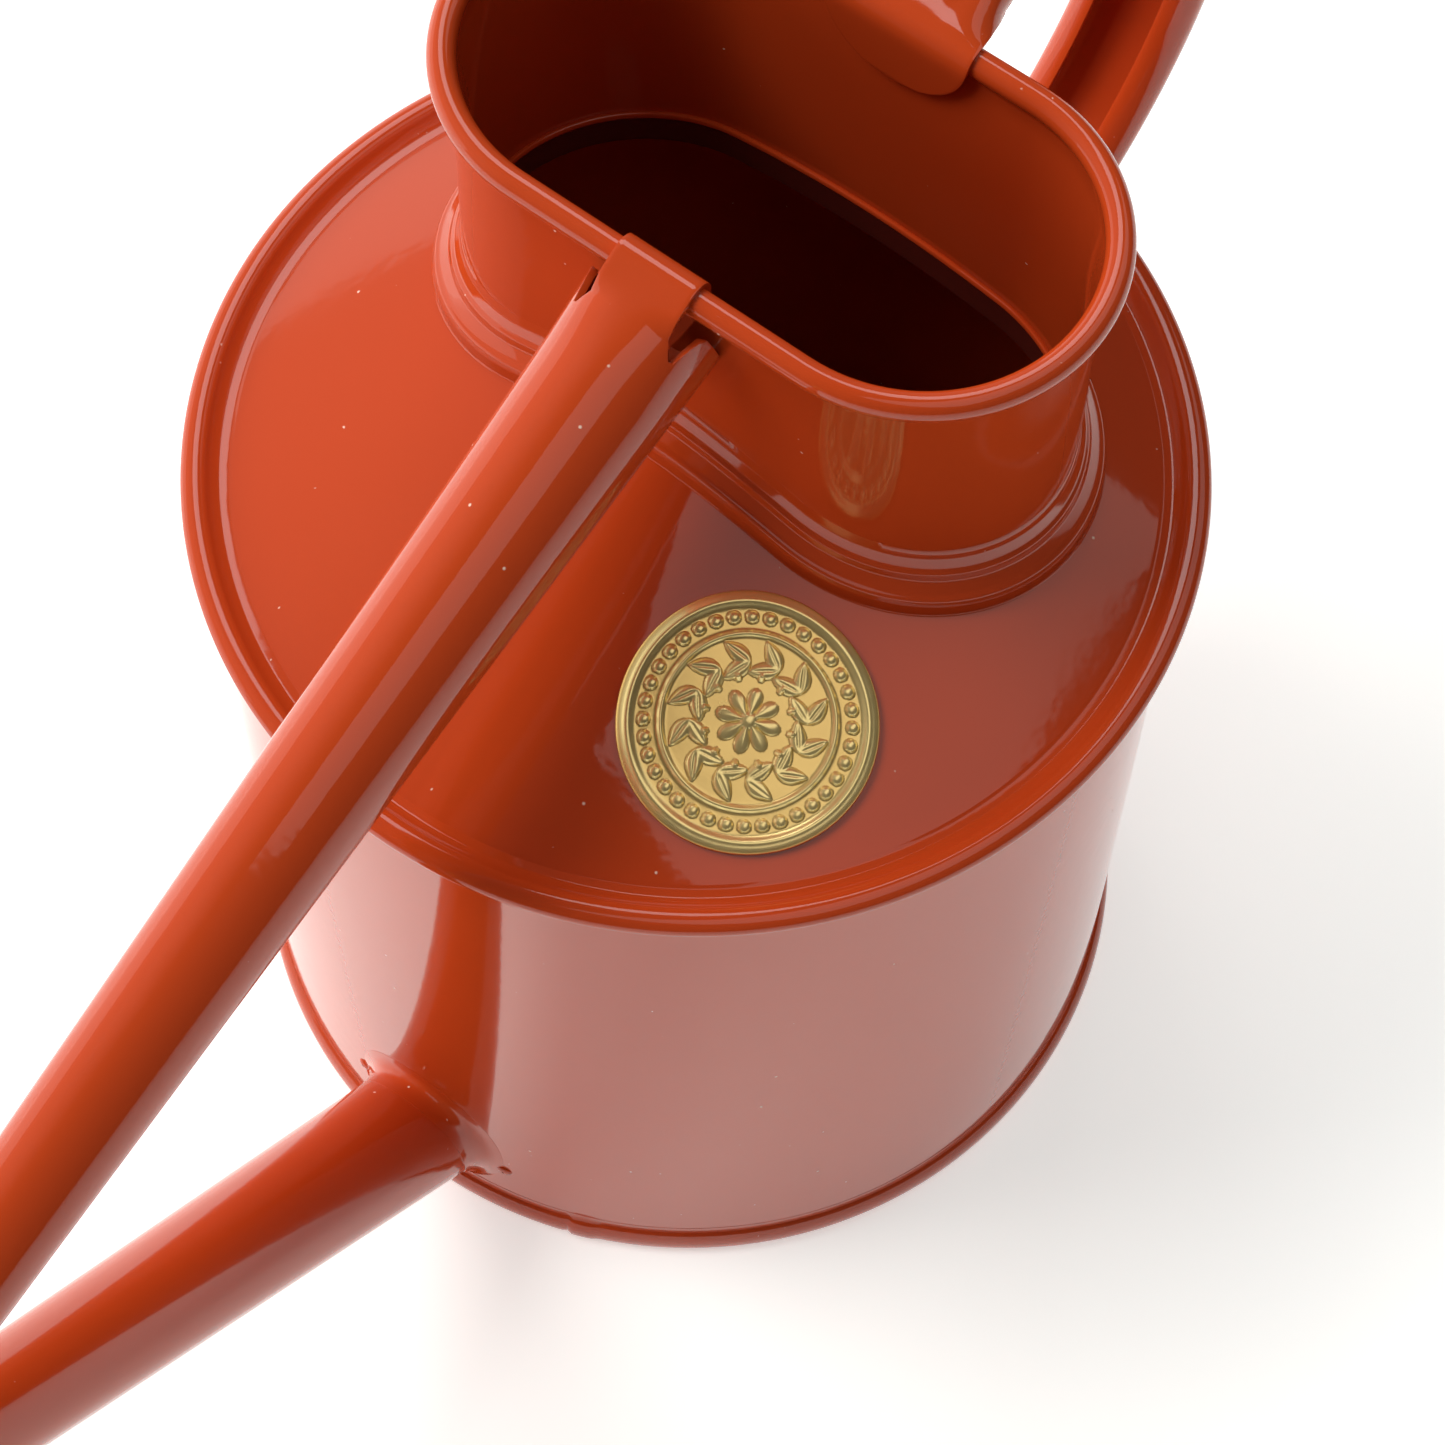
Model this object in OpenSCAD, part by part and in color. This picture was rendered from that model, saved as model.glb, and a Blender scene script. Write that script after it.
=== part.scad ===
// Long-reach indoor watering can in enamelled sheet metal, with a removable brass rose.
// Origin: centre of the base, on the surface that the can stands on.
// +X points along the spout, +Y to the can's left, +Z up. Millimetres.

/* [Sheet metal] */
// Thickness of the steel sheet
sheet = 0.8; // [0.6:0.05:1]

/* [Drum] */
// Outside radius of the drum
drum_r = 55.6; // [50:0.1:70]
// Height of the drum up to its shoulder bead
drum_h = 108; // [85:1:140]
// How far the bottom bead stands out from the drum
base_bead_out = 0.9; // [0.5:0.1:1.4]
// Radius of the bottom bead
base_bead_r = 1.9; // [1.6:0.1:2.4]
// Height of the recess under the base plate
base_recess = 3; // [2:0.1:6]
// Width of the drum's upright lap seam
seam_w = 5; // [3:0.5:8]
// Direction of the lap seam round the drum, from +X
seam_angle = 212; // [195:1:330]

/* [Top plate] */
// Outside radius of the rolled shoulder bead beyond the drum
shoulder_out = 2.4; // [2:0.1:3]
// Radius of the rolled shoulder bead
shoulder_bead_r = 1.7; // [1.5:0.1:2.2]
// Width of the flat channel inside the shoulder bead
channel_w = 3; // [2:0.1:5]
// Slope of the dome at its outer edge
dome_slope = 24.3; // [18:0.1:28]
// Radius of the dome's gentle crown
dome_crown_r = 340; // [250:5:600]

/* [Collar] */
// Outside radius of the collar's round ends
collar_r = 20.4; // [17:0.1:22]
// Half the distance between the collar's two end centres
collar_half = 18.2; // [12:0.1:22]
// Distance of the collar's centre behind the drum's axis
collar_back = 13.1; // [9:0.1:16]
// Height of the collar's rim bead above the shoulder bead
collar_rise = 48.8; // [40:0.1:65]
// Radius of the wired bead along the collar's rim
rim_bead_r = 1.6; // [1.4:0.05:2]
// Width of the soldered flange outside the collar's foot
flange_w = 2.6; // [1.6:0.1:3.5]
// Height of the flange's outer edge above the dome
flange_h = 2.4; // [1:0.1:3]
// Height of the upstand inside the collar's foot
spigot_h = 4.5; // [3:0.1:7]

/* [Spout] */
// Angle of the spout above the horizontal
spout_angle = 41.6; // [36:0.1:48]
// Height where the spout's axis meets the drum
spout_z = 17.4; // [15:0.1:30]
// Outside radius of the spout at the drum
spout_root_r = 8.3; // [7:0.1:9.5]
// Outside radius of the spout at its tip
spout_tip_r = 4; // [3.6:0.1:5]
// Length of the spout along its axis
spout_len = 240; // [225:1:330]
// Width of the flange where the spout meets the drum
root_flange_w = 2.6; // [1.5:0.1:4]

/* [Brace] */
// Angle of the brace below the horizontal
brace_angle = 17; // [10:0.1:22]
// Outside radius of the brace at the collar
brace_r = 8; // [6:0.1:9]
// Outside radius of the brace at the spout
brace_end_r = 4.8; // [4:0.1:6]
// Width of the open seam along the underside of the brace
brace_seam = 2.4; // [1:0.1:4]
// Width of the tab folded over the collar's front rim
brace_tab_w = 11; // [8:0.5:16]
// Depth of the tab inside the collar
brace_tab_len = 9; // [6:0.5:14]

/* [Handle] */
// Radius of the handle's loop, to the middle of the channel
handle_r = 42; // [38:0.5:44]
// Width of the rolled channel that the handle is made of
handle_w = 15.6; // [12:0.1:20]
// Depth of the rolled channel
handle_d = 7; // [5:0.1:9]
// Width of the opening along the inside of the channel
handle_slot = 8; // [4:0.1:11]
// Climb of the handle as it leaves the collar
handle_pitch = 4; // [0:0.5:8]
// Width of the tongue folded over the collar's rear rim
tongue_w = 19; // [14:0.5:24]
// Depth of the tongue inside the collar
tongue_len = 10.5; // [9.5:0.5:14]
// Length of the handle's foot on the drum
foot_len = 15; // [10:0.5:20]

/* [Badge] */
// Radius of the round brass badge
badge_r = 14.1; // [10:0.1:15]
// Distance of the badge's centre from the drum's axis
badge_out = 36.8; // [35:0.1:40]
// Direction of the badge from +X
badge_angle = 44.2; // [38:0.1:60]

/* [Rose] */
// Outside radius of the brass ferrule on the spout's tip
ferrule_r = 5; // [4.7:0.1:6]
// Wall of the rubber bush inside the rose
bush_t = 1.35; // [1:0.05:2]
// Wall of the spun brass
brass_t = 0.8; // [0.6:0.05:1]
// Radial clearance of the bush on the ferrule and in the socket
bush_gap = 0.05; // [0.02:0.01:0.1]
// Tilt of the rose's head against its socket
rose_tilt = 35; // [0:1:40]
// Outside radius of the rose's face
rose_r = 14; // [12:0.5:17]
// Length of the rose's cone
rose_len = 20; // [17:0.5:25]
// Radius of each hole in the rose's face
rose_hole_r = 0.6; // [0.4:0.05:0.7]
// Rings of holes in the rose's face
rose_rings = 5; // [3:1:6]

/* [Hidden] */
$fn = 96;
enamel = "#C8502A";
brass = "#C8A550";
eps = 0.01;

// levels and radii of the drum and its top
drum_in = drum_r - sheet;
shoulder_z = drum_h + shoulder_bead_r;
shoulder_r = drum_r + shoulder_out;
bead_mid_r = shoulder_r - shoulder_bead_r;
dome_edge_r = bead_mid_r - channel_w - 1.3;
dome_edge_z = shoulder_z + 0.3;
channel_z = shoulder_z - 0.3;
dome_cx = dome_edge_r - dome_crown_r * sin(dome_slope);
dome_cz = dome_edge_z - dome_crown_r * cos(dome_slope);

// collar
rim_z = shoulder_z + collar_rise;
rim_mid_r = collar_r + 0.1;
collar_in = collar_r - sheet;
spigot_in = collar_in - sheet;
front_x = rim_mid_r - collar_back;
rear_x = -rim_mid_r - collar_back;
fold_r = rim_bead_r + sheet;

// spout: distance t along its axis from the drum's surface
spout_taper = (spout_root_r - spout_tip_r) / spout_len;
function spout_r_at(t) = spout_root_r - spout_taper * t;
buried = 25;

// brace: where its axis starts, and how far on it meets the spout's axis
brace_x = front_x + rim_bead_r + 0.4;
brace_z = rim_z + fold_r - 1.3 - brace_r / cos(brace_angle);
brace_len = ((brace_z - spout_z) * cos(spout_angle) + (drum_r - brace_x) * sin(spout_angle))
            / sin(spout_angle + brace_angle);

// handle: the straight channel behind the collar, then the loop's centre
handle_x0 = rear_x - rim_bead_r - 0.4;
handle_z0 = rim_z + fold_r + 0.5 - handle_d / 2;
loop_x = 1.2 - drum_r;
handle_run = (handle_x0 - loop_x - handle_r * sin(handle_pitch)) / cos(handle_pitch);
loop_z = handle_z0 + handle_run * sin(handle_pitch) - handle_r * cos(handle_pitch);
foot_z = loop_z - handle_r - handle_d / 2;
butt_gap = 0.02;

// dome's height and slope at the badge
function dome_z(r) = dome_cz + sqrt(pow(dome_crown_r, 2) - pow(r - dome_cx, 2));
function dome_tilt(r) = asin((r - dome_cx) / dome_crown_r);
pad_t = 0.3;
badge_t = 0.6;
relief_t = 0.35;

// rose: levels along the spout's axis
stop_t = spout_len - 12;
bush_t0 = stop_t + 1.6;
bush_len = 12;
lip_t = 1.2;
bush_in = ferrule_r + bush_gap;
bush_out = bush_in + bush_t;
socket_in = bush_out + bush_gap;
socket_out = socket_in + brass_t;
socket_t0 = bush_t0 + lip_t + 0.1;
socket_t1 = spout_len + 6;
knuckle_r = socket_out + 0.6;
knuckle_t = socket_t1 + 3;
neck_r = knuckle_r - 1.2;
rim_ring_r = 1.2;

// ---- shared shapes ----

module obround(r) {
    for (s = [-1, 1]) translate([-collar_back, s * collar_half]) circle(r = r);
    translate([-collar_back, 0]) square([2 * r, 2 * collar_half], center = true);
}

module obround_prism(r, z0, z1) {
    translate([0, 0, z0]) linear_extrude(z1 - z0) obround(r);
}

// sweeps a section round the collar; its x is the distance from the end centres
module obround_sweep() {
    translate([-collar_back, 0, 0]) for (a = [0, 180]) rotate([0, 0, a]) {
        translate([0, collar_half, 0]) rotate_extrude(angle = 180) children();
        translate([0, collar_half, 0]) rotate([90, 0, 0])
            linear_extrude(2 * collar_half) children();
    }
}

module tube(r_out, r_in, h) {
    difference() {
        cylinder(r = r_out, h = h);
        translate([0, 0, -1]) cylinder(r = r_in, h = h + 2);
    }
}

// the dome's arc between two offsets from its outer face, out to radius r
module dome_arc(t0, t1, r) {
    intersection() {
        difference() {
            translate([dome_cx, dome_cz]) circle(r = dome_crown_r + t1, $fn = 720);
            translate([dome_cx, dome_cz]) circle(r = dome_crown_r + t0, $fn = 720);
        }
        translate([0, shoulder_z - 10]) square([r, 60]);
    }
}

module dome_layer(t0, t1, r = dome_edge_r) {
    rotate_extrude() dome_arc(t0, t1, r);
}

// everything under the dome's outer face, raised by t
module under_dome(t = 0) {
    rotate_extrude() intersection() {
        translate([dome_cx, dome_cz]) circle(r = dome_crown_r + t, $fn = 720);
        translate([0, 2]) square([dome_edge_r, shoulder_z + 60]);
    }
}

module on_spout(t = 0) {
    translate([drum_r, 0, spout_z]) rotate([0, 90 - spout_angle, 0])
        translate([0, 0, t]) children();
}

module spout_cone(grow, t0, t1) {
    on_spout(t0) cylinder(r1 = spout_r_at(t0) + grow, r2 = spout_r_at(t1) + grow, h = t1 - t0);
}

module on_brace(t = 0) {
    translate([brace_x, 0, brace_z]) rotate([0, 90 + brace_angle, 0])
        translate([0, 0, t]) children();
}

module brace_cone(grow, t0, t1) {
    taper = (brace_r - brace_end_r) / brace_len;
    on_brace(t0) cylinder(r1 = brace_r - taper * t0 + grow, r2 = brace_r - taper * t1 + grow,
                          h = t1 - t0);
}

module on_badge() {
    rotate([0, 0, badge_angle]) translate([badge_out, 0, dome_z(badge_out)])
        rotate([0, dome_tilt(badge_out), 0]) children();
}

module on_rose_head() {
    on_spout(knuckle_t) rotate([0, -rose_tilt, 0]) children();
}

// a tab folded over the collar's rim: x points out of the collar, z is the rim bead's middle;
// outside the collar it runs on level for reach, or turns down over the bead for drop
module folded_tab(width, depth, reach = 0, drop = 0) {
    translate([0, width / 2, 0]) rotate([90, 0, 0]) linear_extrude(width) {
        difference() {
            circle(r = fold_r);
            circle(r = rim_bead_r);
            translate([-fold_r - 1, -fold_r - 1]) square([2 * fold_r + 2, fold_r + 1]);
            if (reach > 0) translate([0, -1]) square([fold_r + 1, fold_r + 2]);
        }
        translate([-fold_r, -depth]) square([sheet, depth]);
        if (reach > 0) translate([0, rim_bead_r]) square([reach, sheet]);
        if (drop > 0) translate([rim_bead_r, -drop]) square([sheet, drop]);
    }
}

// keeps a tab's lower end round, as seen from inside the collar
module round_end(width, depth) {
    rotate([90, 0, 90]) translate([0, 0, -20]) linear_extrude(60) {
        translate([0, width / 2 - depth]) circle(r = width / 2);
        translate([-width / 2, width / 2 - depth]) square([width, depth + 10]);
    }
}

// the handle's section: a flattened tube, open along its inner side
module channel_section() {
    r = handle_d / 2;
    side = handle_w / 2 - r;
    difference() {
        union() {
            for (s = [-1, 1]) translate([0, s * side]) circle(r = r);
            square([handle_d, 2 * side], center = true);
        }
        for (s = [-1, 1]) translate([0, s * side]) circle(r = r - sheet);
        square([handle_d - 2 * sheet, 2 * side], center = true);
        translate([-handle_d, -handle_slot / 2]) square([handle_d, handle_slot]);
    }
}

// ---- drum ----

module drum() color(enamel) {
    difference() {
        union() {
            rotate_extrude() translate([drum_in, sheet]) square([sheet, channel_z - 2 * sheet]);
            rotate([0, 0, seam_angle]) rotate_extrude(angle = seam_w / drum_r * 57.3)
                translate([drum_r - eps, 2 * base_bead_r + 0.4])
                    square([sheet * 0.6, drum_h - 2 * base_bead_r - 1.2]);
        }
        spout_cone(-sheet, -buried, 30);
    }
}

module base_plate() color(enamel) {
    bead_x = drum_r + base_bead_out - base_bead_r;
    rotate_extrude() difference() {
        union() {
            translate([bead_x, base_bead_r + 0.1]) circle(r = base_bead_r);
            translate([bead_x - 0.9, 0]) square([1.6, base_bead_r]);
            translate([0, base_recess]) square([bead_x, sheet]);
        }
        translate([drum_in, sheet]) square([sheet, drum_h]);
    }
}

module top_plate() color(enamel) {
    difference() {
        rotate_extrude() {
            dome_arc(-sheet, 0, dome_edge_r);
            polygon([[dome_edge_r - 0.6, dome_edge_z + 0.2], [dome_edge_r + 1.3, channel_z],
                     [bead_mid_r, channel_z], [bead_mid_r, channel_z - sheet],
                     [dome_edge_r + 0.9, channel_z - sheet],
                     [dome_edge_r - 0.9, dome_edge_z - 0.5]]);
            difference() {
                translate([bead_mid_r, shoulder_z]) circle(r = shoulder_bead_r);
                translate([0, shoulder_z - 5]) square([drum_r, 5]);
            }
        }
        obround_prism(spigot_in, shoulder_z - 5, rim_z);
    }
    // upstand round the filler hole, inside the collar's foot
    difference() {
        intersection() {
            obround_prism(collar_in, shoulder_z, rim_z);
            difference() {
                under_dome(spigot_h);
                under_dome(-sheet / 2);
            }
        }
        obround_prism(spigot_in, shoulder_z - 1, rim_z + 1);
    }
}

// ---- collar ----

module flange_step(width, height) {
    difference() {
        intersection() {
            obround_prism(collar_r + width, shoulder_z, rim_z - 5);
            under_dome(height);
        }
        under_dome();
        obround_prism(collar_r, shoulder_z - 1, rim_z);
    }
}

module collar_flange() color(enamel) {
    flange_step(flange_w, flange_h);
    flange_step(flange_w / 3, 2 * flange_h);
}

module collar_wall() color(enamel) {
    difference() {
        obround_prism(collar_r, shoulder_z, rim_z);
        obround_prism(collar_in, shoulder_z - 1, rim_z + 1);
        under_dome();
        obround_sweep() translate([rim_mid_r, rim_z]) circle(r = rim_bead_r);
    }
}

module collar_rim() color(enamel) {
    obround_sweep() translate([rim_mid_r, rim_z]) difference() {
        circle(r = rim_bead_r);
        circle(r = rim_bead_r - sheet);
    }
}

module collar_wire() color("silver") {
    obround_sweep() translate([rim_mid_r, rim_z]) circle(r = rim_bead_r - sheet);
}

// ---- spout ----

module spout() color(enamel) {
    difference() {
        spout_cone(0, -buried, spout_len);
        spout_cone(-sheet, -buried - 1, spout_len + 1);
        translate([0, 0, -60]) cylinder(r = drum_r, h = 140);
    }
}

module spout_flange() color(enamel) {
    difference() {
        intersection() {
            tube(drum_r + 0.9, drum_r, drum_h);
            spout_cone(root_flange_w, -buried, buried);
            translate([0, 0, 2 * base_bead_r + 0.3]) cylinder(r = drum_r + 5, h = drum_h);
        }
        spout_cone(0, -buried - 1, buried + 1);
    }
}

module strainer() color("silver") {
    radius = 13;
    hole_r = 1.2;
    pitch = 3.4;
    z = max(spout_z + 0.6, base_recess + sheet + radius + 0.4);
    difference() {
        intersection() {
            translate([0, 0, 1]) tube(drum_in, drum_in - sheet, drum_h / 2);
            translate([0, 0, z]) rotate([0, 90, 0]) cylinder(r = radius, h = drum_r);
        }
        for (i = [-3:3], j = [-3:3])
            if (norm([i + j / 2, j * 0.866]) * pitch < radius - hole_r - 1)
                translate([0, (i + j / 2) * pitch, z + j * 0.866 * pitch])
                    rotate([0, 90, 0]) cylinder(r = hole_r, h = drum_r, $fn = 24);
    }
}

module spout_ferrule() color(brass) {
    difference() {
        union() {
            on_spout(stop_t - 1) cylinder(r = ferrule_r, h = 16);
            on_spout(stop_t) rotate_extrude() translate([ferrule_r, 0]) circle(r = 1.1);
        }
        spout_cone(0, spout_len - 40, spout_len);
        on_spout(spout_len - 5) cylinder(r = spout_tip_r - sheet, h = 20);
    }
}

// ---- brace and handle ----

module brace() color(enamel) {
    difference() {
        brace_cone(0, -10, brace_len);
        brace_cone(-sheet, -11, brace_len + 1);
        translate([front_x + rim_bead_r + 0.3 - 60, -30, 0]) cube([60, 60, rim_z * 2]);
        on_brace(-11) translate([0, -brace_seam / 2, 0]) cube([20, brace_seam, brace_len + 20]);
        spout_cone(0, -buried, spout_len);
        on_spout(0) translate([0, -30, 0]) cube([60, 60, spout_len + 60]);
    }
    translate([front_x, 0, rim_z]) intersection() {
        folded_tab(brace_tab_w, brace_tab_len, drop = 1.5);
        round_end(brace_tab_w, brace_tab_len);
    }
}

module handle() color(enamel) {
    difference() {
        union() {
            // straight channel behind the collar, butted on the loop
            translate([handle_x0, 0, handle_z0]) rotate([0, handle_pitch - 90, 0])
                linear_extrude(handle_run - butt_gap) channel_section();
            translate([loop_x, 0, loop_z]) rotate([0, handle_pitch - 90, 0])
                translate([handle_r + handle_d / 2 - 0.75 * sheet, -handle_slot / 2, -1.5])
                    cube([sheet / 2, handle_slot, 3]);
            // loop down to the drum
            translate([loop_x, 0, loop_z]) rotate([90, 0, 0]) rotate([0, 0, 90 - handle_pitch])
                rotate_extrude(angle = 178 + handle_pitch)
                    translate([handle_r, 0]) channel_section();
        }
        cylinder(r = drum_r, h = drum_h);
    }
    // foot on the drum's back
    intersection() {
        tube(drum_r + sheet, drum_r, drum_h);
        rotate([90, 0, -90]) translate([0, foot_z - foot_len + handle_w / 2, 0])
            linear_extrude(drum_r * 2) {
                circle(r = handle_w / 2);
                translate([-handle_w / 2, 0])
                    square([handle_w, foot_len - handle_w / 2 + sheet * 1.5]);
            }
    }
    // tongue over the collar's rear rim
    translate([rear_x, 0, rim_z]) rotate([0, 0, 180]) intersection() {
        folded_tab(tongue_w, tongue_len, reach = rim_bead_r + 4);
        round_end(tongue_w, tongue_len);
    }
}

// ---- badge ----

module badge_pad() color("dimgray") {
    intersection() {
        dome_layer(0, pad_t);
        on_badge() translate([0, 0, -6]) cylinder(r = badge_r - 1.2, h = 12);
    }
}

module badge() color(brass) {
    intersection() {
        dome_layer(pad_t, pad_t + badge_t);
        on_badge() translate([0, 0, -6]) cylinder(r = badge_r, h = 12);
    }
    intersection() {
        dome_layer(pad_t + badge_t - eps, pad_t + badge_t + relief_t);
        on_badge() translate([0, 0, -6]) {
            tube(badge_r, badge_r - 0.9, 12);
            tube(badge_r * 0.67, badge_r * 0.67 - 0.4, 12);
            for (a = [0:15:345]) rotate([0, 0, a]) translate([badge_r * 0.81, 0, 0])
                cylinder(r = 0.5, h = 12, $fn = 24);
            for (a = [0:60:300]) rotate([0, 0, a]) translate([badge_r * 0.3, 0, 0])
                cylinder(r = 1.3, h = 12, $fn = 24);
        }
    }
}

// ---- rose ----

module rose_bush() color("#202020") {
    on_spout(bush_t0) difference() {
        union() {
            cylinder(r = bush_out, h = bush_len);
            cylinder(r = socket_out, h = lip_t);
        }
        translate([0, 0, -1]) cylinder(r = bush_in, h = bush_len + 2);
    }
}

module rose_socket() color(brass) {
    on_spout(socket_t0) tube(socket_out, socket_in, socket_t1 - socket_t0);
}

module rose_neck_ring() color(brass) {
    on_spout(socket_t1 - 2) difference() {
        rotate_extrude() translate([socket_out + 0.2, 0]) circle(r = 1);
        translate([0, 0, -5]) cylinder(r = socket_out, h = 10);
    }
}

module rose_shape(inset, over = 0) {
    on_spout(knuckle_t) sphere(r = knuckle_r - inset);
    on_rose_head() translate([0, 0, 3])
        cylinder(r1 = neck_r - inset, r2 = rose_r - inset, h = rose_len - 3 + over);
}

module rose_body() color(brass) {
    difference() {
        rose_shape(0);
        rose_shape(brass_t, 0.01);
        on_spout(socket_t1 - 20) cylinder(r = knuckle_r + 1, h = 20);
        on_spout(socket_t1 - 1) cylinder(r = socket_in, h = 5);
    }
}

module rose_rim() color(brass) {
    on_rose_head() difference() {
        translate([0, 0, rose_len]) rotate_extrude()
            translate([rose_r, 0]) circle(r = rim_ring_r);
        translate([0, 0, rose_len - 3]) cylinder(r1 = rose_r - 3 * (rose_r - neck_r) /
                                                 (rose_len - 3), r2 = rose_r, h = 3);
        translate([0, 0, rose_len]) cylinder(r = rose_r, h = 3);
    }
}

module rose_face() color(brass) {
    hole_pitch = (rose_r - 3) / rose_rings;
    on_rose_head() translate([0, 0, rose_len]) difference() {
        cylinder(r = rose_r, h = brass_t);
        translate([0, 0, -1]) {
            cylinder(r = rose_hole_r, h = 4, $fn = 24);
            for (ring = [1:rose_rings], k = [0:6 * ring - 1])
                rotate([0, 0, k * 60 / ring]) translate([ring * hole_pitch, 0, 0])
                    cylinder(r = rose_hole_r, h = 4, $fn = 24);
        }
    }
}

drum();
base_plate();
top_plate();
collar_flange();
collar_wall();
collar_rim();
collar_wire();
spout();
spout_flange();
strainer();
spout_ferrule();
brace();
handle();
badge_pad();
badge();
rose_bush();
rose_socket();
rose_neck_ring();
rose_body();
rose_rim();
rose_face();
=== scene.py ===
"""A long-reach watering can in burnt-orange enamel with a brass badge and rose.

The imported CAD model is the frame. The pieces here carry the fine shapes: rolled sheet edges,
swaged beads, soldered roots, the stamped badge; every surface gets a procedural material.
Lengths are millimetres until piece() turns them into metres."""
import math

import bmesh
import bpy
from mathutils import Matrix, Vector


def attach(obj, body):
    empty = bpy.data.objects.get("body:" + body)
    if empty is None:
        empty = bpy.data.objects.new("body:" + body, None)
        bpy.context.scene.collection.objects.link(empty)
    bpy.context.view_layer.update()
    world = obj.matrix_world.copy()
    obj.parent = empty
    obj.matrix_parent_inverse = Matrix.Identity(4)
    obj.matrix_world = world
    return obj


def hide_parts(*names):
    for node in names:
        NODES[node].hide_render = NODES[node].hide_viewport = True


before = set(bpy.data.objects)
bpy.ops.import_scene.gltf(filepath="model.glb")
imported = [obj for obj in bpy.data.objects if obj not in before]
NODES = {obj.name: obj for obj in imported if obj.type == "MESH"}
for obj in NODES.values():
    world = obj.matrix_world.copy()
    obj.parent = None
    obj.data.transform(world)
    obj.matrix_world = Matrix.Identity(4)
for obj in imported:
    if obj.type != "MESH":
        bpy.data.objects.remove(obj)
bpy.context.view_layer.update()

MM = 0.001
TAU = 2 * math.pi

# sizes of the can, as part.scad has them
SHEET = 0.8
DRUM_R, DRUM_TOP = 55.6, 108.6
BEAD_R, BEAD_X, BEAD_Z = 1.7, 56.3, 109.7      # rolled shoulder bead
EDGE_R, EDGE_Z, SLOPE, CROWN_R = 52.0, 110.0, math.radians(24.3), 340.0
CROWN_X = EDGE_R - CROWN_R * math.sin(SLOPE)
CROWN_Z = EDGE_Z - CROWN_R * math.cos(SLOPE)
COLLAR_X, COLLAR_HALF = -13.1, 18.2
RIM_Z, RIM_R, RIM_BEAD = 158.5, 20.5, 1.6
FOLD_R = RIM_BEAD + SHEET
FRONT_X, REAR_X = COLLAR_X + RIM_R, COLLAR_X - RIM_R
SPOUT_A, SPOUT_Z, SPOUT_R0, SPOUT_R1, SPOUT_LEN = math.radians(41.6), 17.4, 8.3, 4.0, 240.0
BRACE_A, BRACE_R0, BRACE_R1 = math.radians(17), 8.0, 4.8
BRACE_X = FRONT_X + 2.0
BRACE_Z = RIM_Z + FOLD_R - 1.3 - BRACE_R0 / math.cos(BRACE_A)
LOOP_X, LOOP_Z, LOOP_R, LOOP_D = -54.4, 117.11, 42.0, 7.0
PAD = 0.3                                      # thickness of the badge's pad

# sizes of the visual model alone
SHEET_EDGE = 0.22                              # rounding of a sheet's cut edges
CRISP = 40                                     # degrees; a sharper edge is not shaded smooth
BEAD_HIGH, BEAD_LOW = 1.35, 0.1                # shoulder bead: half height, drop of its centre
BASE_X, BASE_HALF_W, BASE_HALF_H = 55.35, 1.3, 2.6      # bottom bead


def dome(r):
    """Height of the crowned top at distance r from the drum's axis."""
    return CROWN_Z + math.sqrt(CROWN_R ** 2 - (r - CROWN_X) ** 2)


def mix(a, b, t):
    """From a at t = 0 to b at t = 1."""
    return a + (b - a) * t


def smooth(a, b, x):
    """Eases from 0 at x = a to 1 at x = b."""
    t = min(1.0, max(0.0, (x - a) / (b - a)))
    return t * t * (3 - 2 * t)


# ---- making meshes ----

def grid(rows, wrap_rows=False, wrap_cols=False):
    """Quads between rows of points; each direction may close on itself."""
    verts = [p for row in rows for p in row]
    n, m = len(rows), len(rows[0])
    faces = []
    for i in range(n if wrap_rows else n - 1):
        for j in range(m if wrap_cols else m - 1):
            a, b, k = i * m, (i + 1) % n * m, (j + 1) % m
            faces.append((a + j, b + j, b + k, a + k))
    return verts, faces


def piece(name, *grids, mat="enamel", look=None, node=None, crisp=CRISP, merge=0.0005):
    """One object from the grids, riding the can; its material is look, or mat when look is not given.
    """
    verts, faces = [], []
    for v, f in grids:
        faces += [tuple(i + len(verts) for i in face) for face in f]
        verts += [Vector(p) * MM for p in v]
    mesh = bpy.data.meshes.new(name)
    mesh.from_pydata(verts, [], faces)
    bm = bmesh.new()
    bm.from_mesh(mesh)
    bmesh.ops.remove_doubles(bm, verts=bm.verts, dist=merge * MM)
    bmesh.ops.dissolve_degenerate(bm, dist=1e-7, edges=bm.edges)
    bmesh.ops.recalc_face_normals(bm, faces=bm.faces)
    bm.to_mesh(mesh)
    bm.free()
    mesh.shade_smooth()
    mesh.set_sharp_from_angle(angle=math.radians(crisp))
    mesh.materials.append(MATS[look or mat])
    obj = bpy.data.objects.new(name, mesh)
    bpy.context.collection.objects.link(obj)
    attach(obj, "can")
    if node:
        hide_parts(*([node] if isinstance(node, str) else node))
    return obj


def thicken(obj):
    """Gives an open surface the sheet's thickness, inward, and softly rounded edges."""
    solid = obj.modifiers.new("sheet", "SOLIDIFY")
    solid.thickness, solid.offset = SHEET * MM, -1.0
    solid.use_even_offset = True
    bevel = obj.modifiers.new("edge", "BEVEL")
    bevel.width, bevel.segments, bevel.limit_method = SHEET_EDGE * MM, 2, "ANGLE"
    bevel.angle_limit = math.radians(60)
    done = obj.evaluated_get(bpy.context.evaluated_depsgraph_get())
    mesh = bpy.data.meshes.new_from_object(done)
    obj.modifiers.clear()
    obj.data = mesh
    mesh.shade_smooth()
    mesh.set_sharp_from_angle(angle=math.radians(CRISP))


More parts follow.
